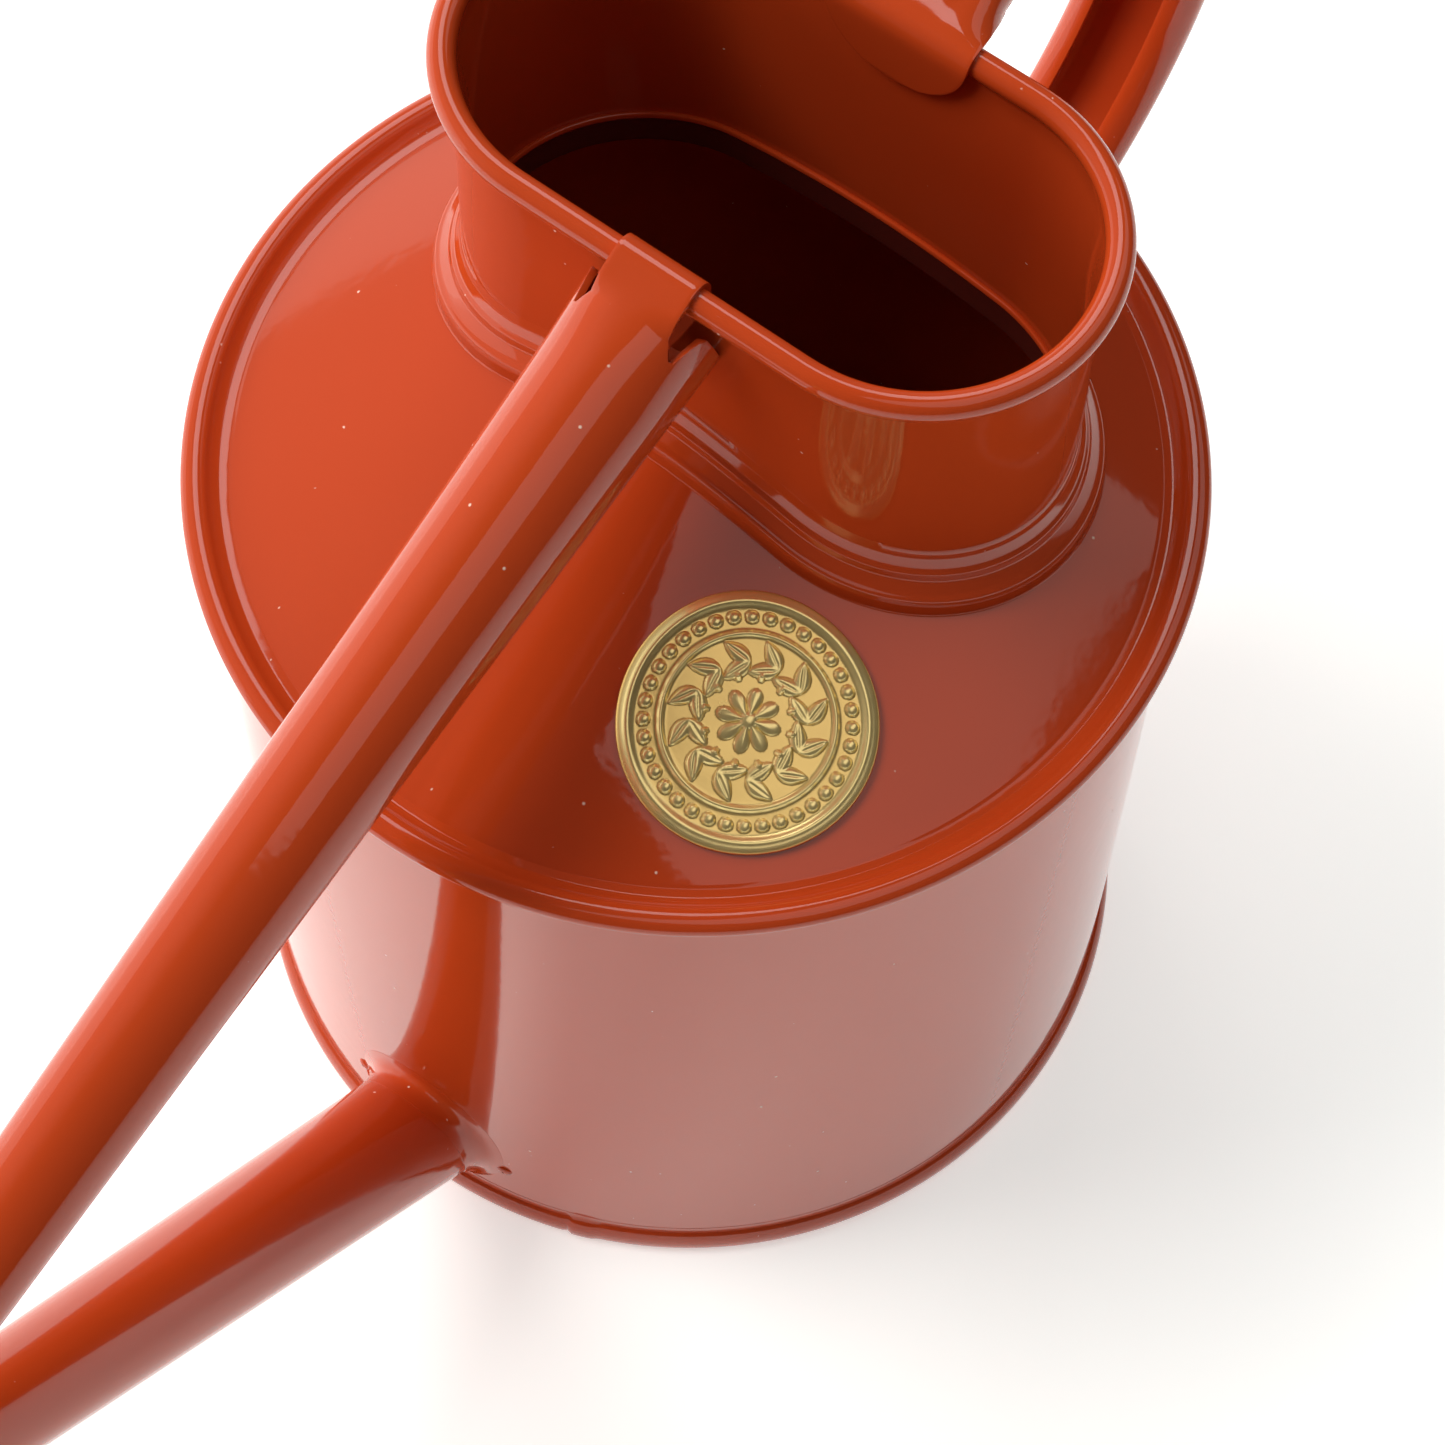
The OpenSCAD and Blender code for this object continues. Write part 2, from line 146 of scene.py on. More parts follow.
def rounded(points, steps=5):
    """A closed outline whose corners (x, y, radius) are rounded."""
    out = []
    for i, p in enumerate(points):
        if len(p) < 3 or p[2] == 0:
            out.append(p[:2])
            continue
        here = Vector(p[:2])
        back = (Vector(points[i - 1][:2]) - here).normalized()
        on = (Vector(points[(i + 1) % len(points)][:2]) - here).normalized()
        half = math.acos(max(-1, min(1, back.dot(on)))) / 2
        reach = p[2] / math.tan(half)
        a, b = here + back * reach, here + on * reach
        for s in range(steps + 1):
            t = s / steps
            out.append(tuple(a * (1 - t) ** 2 + here * 2 * t * (1 - t) + b * t * t))
    return out


def lathe(outline, n, warp):
    """A closed outline (radius, height) turned round the drum's axis; warp adds to the radius."""
    rows = []
    for i in range(n):
        a = TAU * i / n
        row = []
        for r, z in outline:
            out = r + warp(r, z, a)
            row.append((out * math.cos(a), out * math.sin(a), z))
        rows.append(row)
    return grid(rows, True, True)


def obround_stations(ends=56, sides=10):
    """Centre and outward direction of each station round the collar."""
    out = []
    for sign in (1, -1):
        for i in range(ends + 1):
            a = math.pi * i / ends + (0 if sign > 0 else math.pi)
            out.append((COLLAR_X, sign * COLLAR_HALF, math.cos(a), math.sin(a)))
        for i in range(1, sides):
            y = sign * COLLAR_HALF * (1 - 2 * i / sides)
            out.append((COLLAR_X, y, -sign, 0))
    return out


def round_collar(outline):
    """Sweeps (offset, height, share) round the collar; share is how far it follows the dome."""
    rows = []
    for cx, cy, dx, dy in obround_stations():
        row = []
        for p in outline:
            r, h, follow = p if len(p) == 3 else (*p, 0)
            x, y = cx + dx * r, cy + dy * r
            row.append((x, y, h + follow * dome(math.hypot(x, y))))
        rows.append(row)
    return grid(rows, True, True)


# ---- materials ----

class Nodes:
    """A short way to write a material's node tree."""

    def __init__(self, name):
        self.mat = bpy.data.materials.new(name)
        self.mat.use_nodes = True
        self.tree = self.mat.node_tree
        self.tree.nodes.clear()
        self.out = self.tree.nodes.new("ShaderNodeOutputMaterial")
        self.shader = self.tree.nodes.new("ShaderNodeBsdfPrincipled")
        self.tree.links.new(self.shader.outputs[0], self.out.inputs[0])
        self.place = self.tree.nodes.new("ShaderNodeTexCoord").outputs["Object"]

    def put(self, socket, value):
        if isinstance(value, bpy.types.NodeSocket):
            self.tree.links.new(value, socket)
        else:
            socket.default_value = value

    def set(self, **values):
        for key, value in values.items():
            self.put(self.shader.inputs[key.replace("_", " ")], value)

    def noise(self, scale, detail=2.0, stretch=(1, 1, 1)):
        turn = self.tree.nodes.new("ShaderNodeMapping")
        self.put(turn.inputs["Vector"], self.place)
        turn.inputs["Scale"].default_value = stretch
        tex = self.tree.nodes.new("ShaderNodeTexNoise")
        self.put(tex.inputs["Vector"], turn.outputs[0])
        tex.inputs["Scale"].default_value = scale
        tex.inputs["Detail"].default_value = detail
        return tex.outputs["Fac"]

    def cells(self, scale):
        tex = self.tree.nodes.new("ShaderNodeTexVoronoi")
        self.put(tex.inputs["Vector"], self.place)
        tex.inputs["Scale"].default_value = scale
        return tex

    def attribute(self, name):
        node = self.tree.nodes.new("ShaderNodeAttribute")
        node.attribute_name = name
        return node.outputs["Fac"]

    def span(self, value, low, high, out_low=0.0, out_high=1.0):
        node = self.tree.nodes.new("ShaderNodeMapRange")
        self.put(node.inputs["Value"], value)
        for key, v in zip(("From Min", "From Max", "To Min", "To Max"),
                          (low, high, out_low, out_high)):
            node.inputs[key].default_value = v
        return node.outputs[0]

    def math(self, op, a, b):
        node = self.tree.nodes.new("ShaderNodeMath")
        node.operation = op
        self.put(node.inputs[0], a)
        self.put(node.inputs[1], b)
        return node.outputs[0]

    def blend(self, t, a, b):
        node = self.tree.nodes.new("ShaderNodeMix")
        node.data_type = "RGBA"
        self.put(node.inputs[0], t)
        self.put(node.inputs[6], (*a, 1) if isinstance(a, tuple) else a)
        self.put(node.inputs[7], (*b, 1) if isinstance(b, tuple) else b)
        return node.outputs[2]

    def bump(self, height, strength, distance, onto=None):
        node = self.tree.nodes.new("ShaderNodeBump")
        self.put(node.inputs["Height"], height)
        node.inputs["Strength"].default_value = strength
        node.inputs["Distance"].default_value = distance
        if onto is not None:
            self.put(node.inputs["Normal"], onto)
        return node.outputs[0]


def enamel():
    """Painted sheet: two close oranges, specks of dust, faint smears and orange peel."""
    m = Nodes("enamel")
    shade = m.blend(m.noise(14, 3), (0.475, 0.050, 0.009), (0.51, 0.058, 0.011))
    cell = m.cells(420)
    dust = m.math("MULTIPLY", m.span(cell.outputs["Distance"], 0.10, 0.04),
                  m.span(m.noise(900, 0), 0.70, 0.74))
    m.set(Base_Color=m.blend(dust, shade, (0.85, 0.62, 0.50)))
    smear = m.span(m.noise(35, 4, (1, 1, 0.35)), 0.45, 0.8, 0.045, 0.11)
    m.set(Roughness=m.math("ADD", smear, m.math("MULTIPLY", dust, 0.4)))
    peel = m.bump(m.noise(520, 1), 0.025, 0.0004)
    m.set(Normal=m.bump(dust, 0.25, 0.0001, peel), IOR=1.52)
    return m.mat


def brass():
    """Spun brass, a little smeared."""
    m = Nodes("brass")
    tone = m.blend(m.noise(90, 3), (0.74, 0.50, 0.16), (0.80, 0.57, 0.20))
    m.set(Base_Color=tone, Metallic=1.0)
    m.set(Roughness=m.span(m.noise(60, 4), 0.35, 0.75, 0.20, 0.32))
    m.set(Normal=m.bump(m.noise(1500, 2, (1, 1, 0.15)), 0.05, 0.0002))
    return m.mat


def brass_with_painted_shade():
    """The badge, with painted shade: its relief is lighter than its ground, whose hollows are darkened
    in place of the shade that falls in them.
    """
    m = Nodes("brass_with_painted_shade")
    # painted shade: the colour darkens toward the stamping's low ground, by the relief height
    high = m.span(m.attribute("relief"), -0.05, 0.3)
    tone = m.blend(high, (0.80, 0.49, 0.13), (1.0, 0.80, 0.34))
    m.set(Base_Color=tone, Metallic=0.72)
    m.set(Roughness=m.span(m.noise(200, 4), 0.3, 0.8, 0.2, 0.3))
    m.set(Normal=m.bump(m.noise(2600, 2, (1, 0.12, 1)), 0.04, 0.0002))
    return m.mat


def rubber():
    m = Nodes("rubber")
    m.set(Base_Color=m.blend(m.noise(300, 4), (0.016, 0.016, 0.017), (0.04, 0.04, 0.04)))
    m.set(Roughness=0.6, Normal=m.bump(m.noise(2500, 2), 0.2, 0.0002))
    return m.mat


def bare_steel():
    m = Nodes("bare_steel")
    m.set(Base_Color=m.blend(m.noise(80, 4), (0.42, 0.41, 0.39), (0.62, 0.61, 0.58)),
          Metallic=1.0, Roughness=m.span(m.noise(150, 3), 0.3, 0.7, 0.3, 0.5))
    return m.mat


def adhesive():
    m = Nodes("adhesive")
    m.set(Base_Color=m.blend(m.noise(400, 3), (0.05, 0.05, 0.05), (0.1, 0.1, 0.09)),
          Roughness=0.8)
    return m.mat


def painted_shade():
    """Painted shade: a dark coat inside the filler hole, standing in for the shade that falls there."""
    m = Nodes("painted_shade")
    m.set(Base_Color=m.blend(m.noise(60, 3), (0.07, 0.010, 0.007), (0.10, 0.014, 0.009)))
    m.set(Roughness=0.45)
    return m.mat


MATS = {"enamel": enamel(), "brass": brass(), "rubber": rubber(), "painted_shade": painted_shade(),
        "bare_steel": bare_steel(), "adhesive": adhesive(), "stamped": brass_with_painted_shade()}


def paint_nodes():
    """Gives every node of the frame its material."""
    looks = {"brass": ("badge", "spout_ferrule", "rose_socket", "rose_neck_ring", "rose_body",
                       "rose_rim", "rose_face"),
             "rubber": ("rose_bush",), "bare_steel": ("strainer", "collar_wire"),
             "adhesive": ("badge_pad",)}
    for name, node in NODES.items():
        look = next((k for k, names in looks.items() if name in names), "enamel")
        if not node.material_slots:
            node.data.materials.append(MATS[look])
        for s in node.material_slots:
            s.material = MATS[look]


# ---- drum ----

# directions of the wall's lap seam and of the bottom bead's lap
SEAM_A, LAP_A = math.radians(214.5), math.radians(22.5)


def drum():
    """The wall, with its upright lap seam at the back."""
    def seam(r, z, a):
        if r < DRUM_R - 0.1:
            return 0
        across = (a - SEAM_A) * DRUM_R
        return 0.42 * smooth(-3.2, -2.4, across) * (1 - smooth(2.2, 2.9, across)) \
            * smooth(5.5, 6.5, z) * (1 - smooth(106.8, 107.4, z))
    steps = [2.0, 5.0, 6.6] + [8 + 98.5 * i / 12 for i in range(13)] + [107.2, DRUM_TOP]
    outline = [(DRUM_R, z) for z in steps] + [(DRUM_R - SHEET, z) for z in reversed(steps)]
    piece("drum_wall", lathe(outline, 720, seam), node="drum")


def base():
    """The bottom plate, seamed to the wall in a rolled bead with one small lap."""
    bead = [(BASE_X + BASE_HALF_W * math.cos(math.radians(a)),
             BASE_HALF_H + BASE_HALF_H * math.sin(math.radians(a))) for a in range(75, -91, -11)]
    outline = [(DRUM_R + 0.03, 6.6), (DRUM_R + 0.06, 5.7)] + bead + rounded(
        [(54.8, 0.0), (53.6, 0.0, 0.5), (52.9, 0.9, 0.6), (52.7, 3.0, 0.7), (30, 3.0), (0.001, 3.0),
         (0.001, 3.8), (54.6, 3.8), (54.6, 6.6)])

    def lap(r, z, a):
        if r < 54.7 or z > 5.3:
            return 0
        across = (a - LAP_A) * DRUM_R
        return 0.22 * smooth(-1.6, -1.1, across) * (1 - smooth(1.0, 2.6, across)) \
            - 0.18 * math.exp(-((across + 1.9) / 0.35) ** 2)
    piece("base_pan", lathe(outline, 540, lap), node="base_plate")


# ---- top plate ----

def hole_reach(a, r):
    """Distance from the drum's axis to the collar's outline of radius r, in direction a."""
    ux, uy = math.cos(a), math.sin(a)
    best = None
    if abs(ux) > 1e-9:
        for side in (1, -1):
            d = (COLLAR_X + side * r) / ux
            if d > 0 and abs(d * uy) <= COLLAR_HALF:
                best = d
    if best is None:
        cy = COLLAR_HALF if uy > 0 else -COLLAR_HALF
        dot = ux * COLLAR_X + uy * cy
        best = dot + math.sqrt(max(0, dot * dot - COLLAR_X ** 2 - cy * cy + r * r))
    return best


def top_shell():
    """The dome, step, channel and shoulder bead, the filler's ledge and, below it, a ring of painted
    shade.
    """
    bead = [(BEAD_X + BEAD_R * math.cos(math.radians(a)),
             BEAD_Z - BEAD_LOW + BEAD_HIGH * math.sin(math.radians(a))) for a in range(150, -76, -12)]
    outside = rounded([(EDGE_R - 0.6, dome(EDGE_R - 0.6)), (EDGE_R + 0.2, dome(EDGE_R + 0.2), 0.3),
                       (EDGE_R + 0.6, 109.7, 0.45), (53.6, 109.62, 0.8), (54.5, 109.9)])[1:-1]
    outside += bead + [(DRUM_R + 0.05, 108.02), (DRUM_R + 0.05, DRUM_TOP - 0.1),
                       (EDGE_R + 1.0, 108.55), (EDGE_R - 0.2, EDGE_Z - 1.0)]
    steps = 26
    rows = []
    n = 360
    for i in range(n):
        a = TAU * i / n
        start = hole_reach(a, 19.0)
        radii = [mix(start, EDGE_R - 0.4, k / steps) for k in range(steps + 1)]
        row = [(r, dome(r)) for r in radii] + outside + [(r, dome(r) - SHEET) for r in reversed(radii)]
        rows.append([(r * math.cos(a), r * math.sin(a), z) for r, z in row])
    ledge = rounded([(19.5, 2.9), (19.5, 4.3, 0.4), (18.55, 4.4, 0.45), (18.45, 3.6, 0.3), (18.8, 2.9)])
    piece("top_shell", grid(rows, True, True),
          round_collar([(r, h, 1) for r, h in ledge]), node="top_plate")
    # below the ledge a dark skirt of painted shade stands in for the shade inside the filler hole
    skirt = [(19.4, 3.2), (18.62, 3.2), (18.62, -1.0), (19.4, -1.0)]
    piece("filler_painted_shade", round_collar([(r, h, 1) for r, h in skirt]), look="painted_shade")


# ---- collar ----

def collar():
    """The collar's wall, waisted, and rolled over a wire along its rim."""
    def bead(a):
        a = math.radians(a)
        return (RIM_R + RIM_BEAD * math.cos(a), RIM_Z + RIM_BEAD * math.sin(a), 0)
    outside = [(19.95, -0.2, 1), (19.9, 3, 1), (19.75, 7, 1), (19.65, 138, 0), (19.7, 145, 0),
               (19.85, 150, 0), (20.1, 154, 0), (20.3, 156.4, 0)]
    inside = [(r - SHEET, h, f) for r, h, f in reversed(outside)]
    roll = [bead(a) for a in range(-98, 228, 10)]
    piece("collar_wall_rolled", round_collar(outside + roll + inside),
          node=("collar_wall", "collar_rim"), crisp=55)


def collar_foot():
    """Two swaged beads with a channel between, soldered to the dome."""
    outline = rounded([(19.7, 8.0), (19.95, 6.2, 1.2), (20.55, 5.0, 0.5), (21.05, 4.75, 0.35),
                       (21.25, 3.75, 0.5), (22.35, 2.85, 1.0), (22.95, 2.75, 0.45), (23.2, 1.9, 0.5),
                       (23.2, 0.15, 0.3), (23.45, -0.1), (23.2, -0.5), (19.3, -0.5), (19.3, 8.0)])
    piece("collar_foot", round_collar([(r, h, 1) for r, h in outline]), node="collar_flange",
          crisp=70)


# ---- strips of folded sheet: brace and handle ----

def resample(points, step):
    """Even points along a polyline of (x, z)."""
    out, left = [Vector(points[0])], step
    for a, b in zip(points, points[1:]):
        a, b = Vector(a), Vector(b)
        length = (b - a).length
        while length > left:
            a = a + (b - a) * (left / length)
            out.append(a.copy())
            length = (b - a).length
            left = step
        left -= length
    out.append(Vector(points[-1]))
    return out


def relax(points, times):
    """Rounds a path's corners, keeping its ends."""
    for _ in range(times):
        points = [points[0]] + [(a + b * 2 + c) / 4 for a, b, c in
                                zip(points, points[1:], points[2:])] + [points[-1]]
    return points


def arc(cx, cz, r, a0, a1, n):
    """n steps round a circle, between two angles in degrees."""
    return [(cx + r * math.cos(math.radians(mix(a0, a1, i / n))),
             cz + r * math.sin(math.radians(mix(a0, a1, i / n)))) for i in range(n + 1)]


def frames(points):
    """Each point of a path that turns anticlockwise, with its outward normal."""
    out = []
    for i, p in enumerate(points):
        t = (points[min(i + 1, len(points) - 1)] - points[max(i - 1, 0)]).normalized()
        out.append((p, Vector((t.y, -t.x))))
    return out


# the handle's flat strip: half widths, its parts' lengths and how its edges roll inward
TONGUE_HALF, CHANNEL_HALF, FOOT_HALF = 9.2, 15.5, 7.8
TONGUE_DROP, TONGUE_ASIDE = 8.2, 1.7
FLAT_HALF, ROLL_R, MOST_TURN = 4.3, 3.5, 3.25
FOOT_X, FOOT_Z, FOOT_R, FOOT_TOP, BEND_R = -56.45, 56.6, 56.4, 15.5, 2.6
STRIP_STEP = 0.8


def round_end(half, left):
    """Half width of a strip at distance left from its round end."""
    return math.sqrt(max(0.01, half ** 2 - (half - left) ** 2))


def handle_path():
    """The strip's outer line (x, z): up the tongue, over the rim, round the loop, down the foot."""
    path = [(REAR_X + FOLD_R, RIM_Z - TONGUE_DROP), (REAR_X + FOLD_R, RIM_Z - 1)]
    path += arc(REAR_X, RIM_Z, FOLD_R, 0, 84, 12)
    path += arc(LOOP_X, LOOP_Z, LOOP_R + LOOP_D / 2, 86, 264.5, 150)
    path += arc(FOOT_X - BEND_R, path[-1][1] - 2.55, BEND_R, 84, 0, 8)[1:]
    path += [(FOOT_X, FOOT_Z)]
    return relax(resample(path, STRIP_STEP), 3)


def handle_half(s, from_end):
    """Half width of the flat strip, at s from the tongue's end and from_end from the foot's."""
    if s < TONGUE_HALF:
        return round_end(TONGUE_HALF, s)
    if from_end < FOOT_HALF:
        return round_end(FOOT_HALF, from_end)
    half = mix(TONGUE_HALF, CHANNEL_HALF, smooth(15, 29, s))
    return mix(FOOT_HALF, half, smooth(FOOT_TOP - 3, FOOT_TOP + 9, from_end))


def channel_offset(w, curl, dimple):
    """Sideways and outward offset at w across the strip, for edges rolled inward by curl (0-1)."""
    flat = min(abs(w), FLAT_HALF)
    u, v = flat, 0.0
    if abs(w) > flat:
        if curl > 0.01:
            rho = ROLL_R / curl
            turn = min((abs(w) - flat) / rho, MOST_TURN)
            u, v = flat + rho * math.sin(turn), -rho * (1 - math.cos(turn))
        else:
            u = abs(w)
    return math.copysign(u, w), v - dimple * math.exp(-((u - 4.6) / 2.4) ** 2)


def handle():
    """A strip: flat tongue over the rear rim, rolled channel round the loop, flat foot."""
    points = handle_path()
    total = STRIP_STEP * (len(points) - 1)
    rows = []
    for i, (p, n) in enumerate(frames(points)):
        s = STRIP_STEP * i
        from_end = total - s
        curl = smooth(10.5, 20, s) * smooth(FOOT_TOP - 2, FOOT_TOP + 11, from_end)
        half = handle_half(s, from_end)
        dimple = 0.7 * math.exp(-((s - 18.5) / 3.5) ** 2)        # where the tongue starts to curl
        wrap = 1 - smooth(FOOT_TOP - 3, FOOT_TOP + 1, from_end)  # the foot follows the drum
        aside = TONGUE_ASIDE * (1 - smooth(10, 40, s))
        row = []
        for j in range(41):
            u, v = channel_offset((2 * j / 40 - 1) * half, curl, dimple)
            x = p.x + n.x * v + wrap * (FOOT_R - math.sqrt(FOOT_R ** 2 - u * u))
            row.append((x, u + aside, p.y + n.y * v))
        rows.append(row)
    thicken(piece("handle_strip", grid(rows), node="handle"))


def spout_radius(t):
    return mix(SPOUT_R0, SPOUT_R1, t / SPOUT_LEN)


def in_spout(x, y, z):
    """How far a point is outside the spout's surface."""
    dx, dz = x - DRUM_R, z - SPOUT_Z
    t = dx * math.cos(SPOUT_A) + dz * math.sin(SPOUT_A)
    off = math.hypot(dz * math.cos(SPOUT_A) - dx * math.sin(SPOUT_A), y)
    return off - spout_radius(t)


def brace_length():
    return ((BRACE_Z - SPOUT_Z) * math.cos(SPOUT_A) + (DRUM_R - BRACE_X) * math.sin(SPOUT_A)) \
        / math.sin(SPOUT_A + BRACE_A)


# the brace's axis in the XZ plane, and the tab cut from its crown
BRACE_START = Vector((BRACE_X, BRACE_Z))
BRACE_ALONG = Vector((math.cos(BRACE_A), -math.sin(BRACE_A)))
BRACE_UP = Vector((math.sin(BRACE_A), math.cos(BRACE_A)))
BRACE_COLS, CROWN_T, TAB_HALF, TAB_STEP = 73, 0.9, 0.72, 0.5


def brace_radius(t):
    return mix(BRACE_R0, BRACE_R1, t / brace_length())


def brace_point(t, angle):
    """A point of the tube, t along it and at an angle from its crown, which is a little flat."""
    r = brace_radius(t)
    flat = 0.3 * (1 - smooth(-1, 9, t))
    drop = 1 - math.cos(angle)
    if abs(angle) < math.pi / 2:
        drop = drop ** (1 + flat)
    c = BRACE_START + BRACE_ALONG * t + BRACE_UP * (r - r * drop)
    return (c.x, r * math.sin(angle), c.y)


def brace_angle(j, t):
    """The angle of column j; the outer columns stop at the open seam underneath."""
    most = math.pi - 1.1 / brace_radius(t)
    return (2 * j / (BRACE_COLS - 1) - 1) * most


def brace_end(j):
    """How far column j runs until it dips into the spout."""
    low, high = brace_length() - 30, brace_length() + 6
    for _ in range(30):
        mid = (low + high) / 2
        if in_spout(*brace_point(mid, brace_angle(j, mid))) > -0.15:
            low = mid
        else:
            high = mid
    return low


def brace_begin(j):
    """Where column j begins: cut back beside the tab in a slit, and below it up to the collar."""
    a = abs(brace_angle(j, 0))
    slit = 1.7 * smooth(TAB_HALF, TAB_HALF + 0.06, a) * (1 - smooth(0.9, 1.05, a))
    return CROWN_T + slit - 2.6 * smooth(0.92, 1.15, a)


def brace_tube():
    """Rows of points along the tube, closer together near the collar."""
    ends = [(brace_begin(j), brace_end(j)) for j in range(BRACE_COLS)]
    shares = [0, 0.0025, 0.006, 0.011, 0.018, 0.027, 0.04, 0.055, 0.075] + \
        [0.1 + 0.9 * i / 60 for i in range(61)]
    rows = []
    for share in shares:
        places = [mix(begin, end, share) for begin, end in ends]
        rows.append([brace_point(t, brace_angle(j, t)) for j, t in enumerate(places)])
    return rows


def brace_tab(first):
    """The tab: from the crown's part of the tube's first row over the rim bead and down inside."""
    crown = BRACE_START + BRACE_ALONG * CROWN_T + BRACE_UP * BRACE_R0
    path = [(crown.x, crown.y)] + arc(FRONT_X, RIM_Z, FOLD_R, 48, 180, 14) + \
        [(FRONT_X - FOLD_R, RIM_Z - 9)]
    points = relax(resample(path, TAB_STEP), 2)
    first = [q for j, q in enumerate(first) if abs(brace_angle(j, CROWN_T)) <= TAB_HALF + 0.001]
    wide = max(abs(q[1]) for q in first)
    rows = [first]
    for i, p in enumerate(points[1:], 1):
        ease = 1 - smooth(0, 5, i)
        left = TAB_STEP * (len(points) - 1 - i)
        half = wide if left > wide else round_end(wide, left)
        rows.append([(p.x, y / wide * half, p.y + (z - crown.y) * ease) for _, y, z in first])
    return rows


def brace():
    """A tapered tube with an open seam below; a tab of its crown is folded over the rim."""
    tube = brace_tube()
    thicken(piece("brace_tube", grid(tube), grid(brace_tab(tube[0])), node="brace", merge=0.02))


# ---- spout root ----

SPOUT_START, SIDE = Vector((DRUM_R, 0, SPOUT_Z)), Vector((0, 1, 0))
SPOUT_ALONG = Vector((math.cos(SPOUT_A), 0, math.sin(SPOUT_A)))
SPOUT_UP = Vector((-math.sin(SPOUT_A), 0, math.cos(SPOUT_A)))


def spout_meet(a):
    """Where the spout's line at angle a from its top leaves the drum: t, point, outward."""
    out = SPOUT_UP * math.cos(a) + SIDE * math.sin(a)
    low, high = -20.0, 20.0
    for _ in range(40):
        t = (low + high) / 2
        q = SPOUT_START + SPOUT_ALONG * t + out * spout_radius(t)
        if math.hypot(q.x, q.y) < DRUM_R:
            low = t
        else:
            high = t
    return low, SPOUT_START + SPOUT_ALONG * low + out * spout_radius(low), out


def flare_row(a):
    """The solder fillet's section at angle a: a curve from the drum's wall up onto the spout."""
    t, q, out = spout_meet(a)
    down = max(0.0, -math.cos(a))
    wide = mix(3.0, 1.7, down ** 2)
    rise = mix(4.6, 2.4, down)
    edge = q + Vector((0, out.y, out.z)).normalized() * wide
    edge.z = max(edge.z, 5.6)                       # stays above the bottom bead
    r = math.hypot(edge.x, edge.y)
    edge.x, edge.y = edge.x * DRUM_R / r, edge.y * DRUM_R / r
    top = SPOUT_START + SPOUT_ALONG * (t + rise) + out * (spout_radius(t + rise) + 0.02)
    lift = Vector((edge.x, edge.y, 0)).normalized()
    row = [edge - lift * 0.3, edge + lift * 0.02]
    corner = q + lift * 0.3 + out * 0.2
    begin = edge + lift * 0.08 - (edge - q) * 0.03
    for k in range(1, 13):
        s = k / 12
        row.append(begin * (1 - s) ** 2 + corner * 2 * s * (1 - s) + top * s * s)
    row += [top - out * 0.4, q - out * 0.5]
    return [tuple(p) for p in row]


def solder_drop(where, size):
    """A flat drop of solder on the drum, beside the fillet at angle where."""
    _, q, out = spout_meet(where)
    centre = q + Vector((0, out.y, out.z)).normalized() * 3.1 + Vector((0, 0, -2.2))
    r = math.hypot(centre.x, centre.y)
    lift = Vector((centre.x / r, centre.y / r, 0))
    flat = lift.cross(Vector((0, 0, 1)))
    rows = []
    for i in range(9):
        lat = math.pi / 2 * (1 - i / 8) - 0.15
        row = []
        for k in range(20):
            turn = TAU * k / 20
            z = centre.z + size * math.cos(lat) * math.sin(turn)
            row.append(tuple(lift * (DRUM_R + 0.62 * size * math.sin(lat) - 0.1) +
                             flat * (size * 1.35 * math.cos(lat) * math.cos(turn)) +
                             Vector((0, 0, z))))
        rows.append(row)
    return grid(rows, False, True)


def spout_root():
    """A flared, soldered fillet where the spout leaves the drum, with a drop of solder each side."""
    n = 96
    rows = [flare_row(TAU * i / n) for i in range(n)]
    drops = [solder_drop(1.62, 0.85), solder_drop(-1.45, 0.75)]
    piece("spout_root", grid(rows, True, True), *drops, node="spout_flange", crisp=75)


# ---- badge ----

# radius, distance from the drum's axis, direction, turn and thickness, as the photo shows them
BADGE_R, BADGE_OUT, BADGE_A = 14.3, 36.4, math.radians(45.3)
BADGE_SPIN, BADGE_THICK = math.radians(200), 0.62
# radii of its outer ring, beads, inner ring, leaves and berries, and how many there are
RING_OUT, BEADS_OUT, RING_IN, LEAVES_OUT, BERRIES_OUT = 13.1, 11.3, 9.5, 6.4, 4.75
BEADS, PAIRS = 36, 12


def leaf(x, y, cx, cy, turn, length, width):
    """Height of a plain pointed leaf with a midrib."""
    dx, dy = x - cx, y - cy
    u = dx * math.cos(turn) + dy * math.sin(turn)
    v = -dx * math.sin(turn) + dy * math.cos(turn)
    s = u / length
    if not 0 < s < 1:
        return 0
    half = width * math.sin(math.pi * s ** 0.8) ** 0.8 / 2
    if abs(v) >= half:
        return 0
    e = 1 - (v / half) ** 2
    return 0.5 * e ** 0.6 - 0.2 * math.exp(-(v / 0.14) ** 2) * smooth(0, 0.25, s)


def ball_height(d, r, h):
    return h * math.sqrt(max(0, 1 - (d / r) ** 2)) if d < r else 0


def wreath():
    """Leaves in pairs and berries, evenly spaced in a full ring."""
    leaves, berries = [], []
    for k in range(PAIRS):
        a = TAU * k / PAIRS
        for lean in (0.6, -0.6):
            leaves.append((LEAVES_OUT * math.cos(a), LEAVES_OUT * math.sin(a),
                           a + math.pi / 2 + lean, 3.5, 1.85))
        berries.append((BERRIES_OUT * math.cos(a + 0.26), BERRIES_OUT * math.sin(a + 0.26), 0.4))
    return leaves, berries


